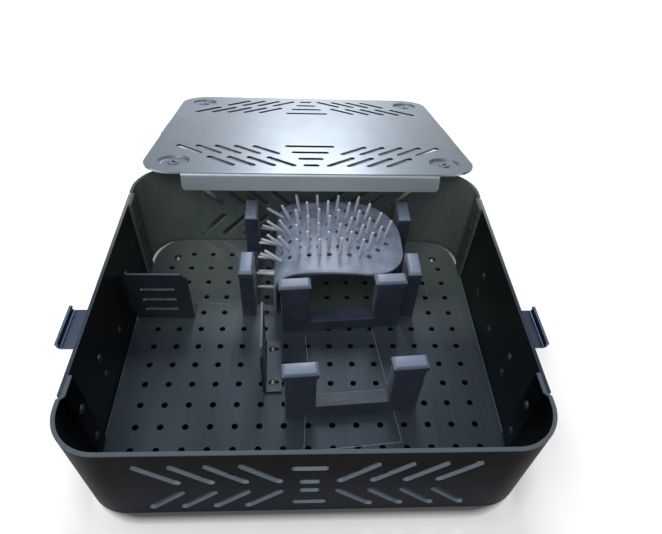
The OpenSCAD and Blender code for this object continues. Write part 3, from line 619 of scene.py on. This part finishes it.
def mat_profile():
    """Corners of the mat's packed box, then the centres and angles of its side view."""
    low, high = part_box("finger_mat")
    centre_z = high.z - MAT_TOP_R
    bend_x = low.x + MAT_BEND_R
    bend_z = centre_z + math.sqrt((MAT_TOP_R - MAT_BEND_R) ** 2 - (MAT_CROWN_X - bend_x) ** 2)
    touch = math.atan2(bend_x - MAT_CROWN_X, bend_z - centre_z)
    end = math.asin((high.x - MAT_CROWN_X) / MAT_TOP_R)
    return low, high, centre_z, bend_x, bend_z, touch, end


def mat_place(s):
    """Point and outward angle on the mat's upper side, s along it from the leg's foot."""
    low, _, centre_z, bend_x, bend_z, touch, _ = mat_profile()
    leg = bend_z - low.z
    bend = MAT_BEND_R * (math.pi / 2 + touch)
    if s < leg:
        return Vector((low.x, 0, low.z + s)), -math.pi / 2
    if s < leg + bend:
        a = -math.pi / 2 + (s - leg) / MAT_BEND_R
        return Vector((bend_x + MAT_BEND_R * math.sin(a), 0, bend_z + MAT_BEND_R * math.cos(a))), a
    a = touch + (s - leg - bend) / MAT_TOP_R
    return Vector((MAT_CROWN_X + MAT_TOP_R * math.sin(a), 0, centre_z + MAT_TOP_R * math.cos(a))), a


class CASSETTE_OT_mat(bpy.types.Operator):
    """Bends the soft mat, with its drain holes, and sets the fingers on it"""
    bl_idname = "cassette.mat"
    bl_label = "Finger mat"

    def execute(self, context):
        s = context.scene.cassette_mat
        low, high, centre_z, bend_x, bend_z, touch, end = mat_profile()
        width, mid_y, strips = high.y - low.y, (low.y + high.y) / 2, 24
        # Painted light: the mat and its fingers are paler, where the light falls on them
        silicone = moulded_silicone("silicone rubber, mat", "#6c788b", "#8693a8", 0.34)
        pale = moulded_silicone("silicone rubber, fingers", "#adb6c2", "#c8cfd8", 0.38)

        # A strip from the leg's foot upwards, spun round the bend and over the top
        deselect_all()
        bpy.ops.mesh.primitive_plane_add(size=1, location=(low.x, mid_y, (low.z + bend_z) / 2),
                                         rotation=(0, -math.pi / 2, 0))
        context.object.scale = (bend_z - low.z, width, 1)
        piece = begin_piece("soft_finger_mat")
        bpy.ops.mesh.select_mode(type="EDGE")
        choose(piece, lambda e: all(abs(v.co.z - bend_z) < 1e-6 for v in e.verts), "edges")
        bpy.ops.mesh.spin(steps=22, angle=math.pi / 2 + touch, center=(bend_x, 0, bend_z), axis=(0, -1, 0))
        bpy.ops.mesh.spin(steps=40, angle=end - touch, center=(MAT_CROWN_X, 0, centre_z), axis=(0, -1, 0))
        bpy.ops.mesh.select_all(action="SELECT")
        bpy.ops.mesh.remove_doubles(threshold=1e-7)
        for step in range(1, strips):
            bpy.ops.mesh.select_all(action="SELECT")
            bpy.ops.mesh.bisect(plane_co=(0, low.y + width * step / strips, 0), plane_no=(0, 1, 0))
        bpy.ops.mesh.select_all(action="SELECT")
        bpy.ops.mesh.normals_make_consistent(inside=False)
        bpy.ops.object.mode_set(mode="OBJECT")
        raise_if_down(piece)
        wall = piece.modifiers.new("wall", "SOLIDIFY")
        wall.thickness = s.thickness
        wall.offset = -1
        bpy.ops.object.modifier_apply(modifier=wall.name)

        # Big round free corners, cut by a rounded block that is higher and longer than the mat
        block_l, block_h = 0.15, 0.3
        deselect_all()
        bpy.ops.mesh.primitive_cube_add(size=1, location=(high.x - block_l / 2, mid_y, 0.05),
                                        scale=(block_l, width, block_h))
        block = begin_piece("corner_block")
        choose(block, lambda e: all(v.co.x > high.x - 1e-5 for v in e.verts)
               and abs(e.verts[0].co.y - e.verts[1].co.y) < 1e-6, "edges")
        bpy.ops.mesh.bevel(offset=MAT_CORNER_R, segments=24, affect="EDGES")
        bpy.ops.object.mode_set(mode="OBJECT")
        cut(piece, block, "INTERSECT")

        # Drain holes, square to the sheet
        drills = []
        for point, a in mat_grid(1):
            deselect_all()
            bpy.ops.mesh.primitive_cylinder_add(vertices=20, radius=MAT_HOLE_R, depth=6 * MM, location=point,
                                                rotation=(0, a, 0))
            drills.append(context.object)
        drill = join_into(drills[0], drills[1:])
        cut(piece, drill, "DIFFERENCE")
        finish_piece(piece, silicone, "mat", "finger_mat", bevel=0.3 * MM, segments=2, angle=40,
                     slot="silicone_mat")

        # One finger, then a copy of it for each place
        deselect_all()
        bpy.ops.mesh.primitive_cone_add(vertices=s.sides, radius1=FINGER_FOOT_R, radius2=FINGER_TIP_R,
                                        depth=1, location=(0, 0, 0.5))
        finger = begin_piece("finger")
        bpy.ops.object.mode_set(mode="OBJECT")
        draw = random.Random(7)
        fingers = []
        for point, a in mat_grid(0):
            on_leg = a < LEG_TILT
            long = LEG_FINGER_L if on_leg else FINGER_L
            copy = finger.copy()
            copy.data = finger.data.copy()
            context.scene.collection.objects.link(copy)
            lean_x = draw.uniform(-s.lean, s.lean)
            lean_y = 0 if on_leg else draw.uniform(-s.lean, s.lean)
            place = (Matrix.Translation(point) @ Matrix.Rotation(a + lean_y, 4, "Y")
                     @ Matrix.Rotation(lean_x, 4, "X") @ Matrix.Diagonal((1, 1, long, 1)))
            copy.data.transform(place)
            fingers.append(copy)
        bpy.data.objects.remove(finger)
        row = join_into(fingers[0], fingers[1:])
        row.name = "soft_mat_fingers"
        finish_piece(row, pale, "mat", "mat_fingers", bevel=0.45 * MM, segments=3, angle=50,
                     slot="silicone_mat")
        return {"FINISHED"}


def mat_grid(odd):
    """Points and outward angles of every second place of the mat's grid: holes are odd, fingers even."""
    low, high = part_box("finger_mat")
    row0 = (low.y + high.y) / 2 + MAT_ROW_OFF - MAT_ROWS * MAT_ROW_PITCH / 2
    for i in range(MAT_COLS + 1):
        point, a = mat_place(MAT_COL0 + i * MAT_PITCH)
        for j in range(MAT_ROWS + 1):
            # Three places are left out at each free corner
            if (i + j) % 2 == odd and MAT_COLS - i + min(j, MAT_ROWS - j) > 1:
                yield Vector((point.x, row0 + j * MAT_ROW_PITCH, point.z)), a


def cut(piece, tool, operation):
    """Applies a boolean with a tool object and removes the tool."""
    deselect_all()
    piece.select_set(True)
    bpy.context.view_layer.objects.active = piece
    boolean = piece.modifiers.new("cut", "BOOLEAN")
    boolean.operation = operation
    boolean.solver = "EXACT"
    boolean.object = tool
    bpy.ops.object.modifier_apply(modifier=boolean.name)
    bpy.data.objects.remove(tool)


def raise_if_down(piece):
    """Turns a strip's faces so that those on its top look up."""
    if max(piece.data.polygons, key=lambda p: p.center.z).normal.z < 0:
        bpy.ops.object.mode_set(mode="EDIT")
        bpy.ops.mesh.select_all(action="SELECT")
        bpy.ops.mesh.flip_normals()
        bpy.ops.object.mode_set(mode="OBJECT")


class CASSETTE_OT_feet(bpy.types.Operator):
    """Moulds the four rubber feet, with a socket in each sole"""
    bl_idname = "cassette.feet"
    bl_label = "Feet"

    def execute(self, context):
        rubber = moulded_silicone("nitrile rubber, feet", "#15161a", "#1f2125", 0.6)
        low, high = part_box("feet")
        radius, height = 7.5 * MM, high.z - low.z
        socket_r, socket_depth = 4.5 * MM, 1.2 * MM
        feet = []
        for sx in (-1, 1):
            for sy in (-1, 1):
                place = (sx * (high.x - radius), sy * (high.y - radius))
                deselect_all()
                bpy.ops.mesh.primitive_cylinder_add(vertices=48, radius=radius, depth=height,
                                                    location=(place[0], place[1], height / 2))
                foot = begin_piece("foot")
                choose(foot, lambda f: f.normal.z < -0.9)
                bpy.ops.mesh.inset(thickness=radius - socket_r)
                extrude((0, 0, socket_depth))
                bpy.ops.object.mode_set(mode="OBJECT")
                feet.append(foot)
        piece = join_into(feet[0], feet[1:])
        piece.name = "rubber_feet"
        finish_piece(piece, rubber, "tray", "feet", bevel=0.35 * MM, segments=2, slot="foot_rubber")
        return {"FINISHED"}


class CASSETTE_OT_etching(bpy.types.Operator):
    """Lays the thin etched outlines on the tray's floor"""
    bl_idname = "cassette.etching"
    bl_label = "Etched outlines"

    def execute(self, context):
        material, tree, place, shader = start_material("laser-etched aluminium")
        # Bare metal at the bottom of a 0.3 mm laser line, speckled where the beam pulsed
        tone = ramp_colours(tree, noise(tree, place, 900.0, 1.0), ((0.35, "#5d666e"), (0.65, "#8d969d")))
        tree.links.new(tone, shader.inputs["Base Color"])
        shader.inputs["Metallic"].default_value = 0.4
        shader.inputs["Roughness"].default_value = 0.5
        line_w, line_t = 0.3, 0.06
        strips = []
        for line in ETCHED_LINES:
            for (x0, y0), (x1, y1) in zip(line, line[1:]):
                long = math.hypot(x1 - x0, y1 - y0)
                deselect_all()
                bpy.ops.mesh.primitive_cube_add(
                    size=1,
                    location=((x0 + x1) / 2 * MM, (y0 + y1) / 2 * MM, FLOOR_Z + line_t / 2 * MM),
                    rotation=(0, 0, math.atan2(y1 - y0, x1 - x0)),
                    scale=((long + line_w) * MM, line_w * MM, line_t * MM))
                strips.append(begin_piece("strip"))
                bpy.ops.object.mode_set(mode="OBJECT")
        piece = join_into(strips[0], strips[1:])
        piece.name = "etched_outlines"
        finish_piece(piece, material, "tray", slot="anodised_tray")
        return {"FINISHED"}


class CASSETTE_PT_panel(bpy.types.Panel):
    """Lists the cassette's pieces"""
    bl_label = "Instrument cassette"
    bl_idname = "CASSETTE_PT_panel"
    bl_space_type = "VIEW_3D"
    bl_region_type = "UI"
    bl_category = "Cassette"

    def draw(self, context):
        column = self.layout.column(align=True)
        for operator in OPERATORS:
            column.operator(operator.bl_idname)
        for group in (context.scene.cassette_holders, context.scene.cassette_mat):
            for name in group.__annotations__:
                self.layout.prop(group, name)


OPERATORS = (CASSETTE_OT_stage, CASSETTE_OT_metal, CASSETTE_OT_holders, CASSETTE_OT_mat, CASSETTE_OT_feet,
             CASSETTE_OT_etching)
CLASSES = (CassetteHolders, CassetteMat) + OPERATORS + (CASSETTE_PT_panel,)


def register():
    for cls in CLASSES:
        bpy.utils.register_class(cls)
    bpy.types.Scene.cassette_holders = PointerProperty(type=CassetteHolders)
    bpy.types.Scene.cassette_mat = PointerProperty(type=CassetteMat)


def unregister():
    del bpy.types.Scene.cassette_mat
    del bpy.types.Scene.cassette_holders
    for cls in reversed(CLASSES):
        bpy.utils.unregister_class(cls)


def main():
    """Builds the scene."""
    register()
    bpy.ops.cassette.stage()
    bpy.ops.cassette.metal()
    bpy.ops.cassette.holders()
    bpy.ops.cassette.mat()
    bpy.ops.cassette.feet()
    bpy.ops.cassette.etching()


if __name__ == "__main__":
    main()
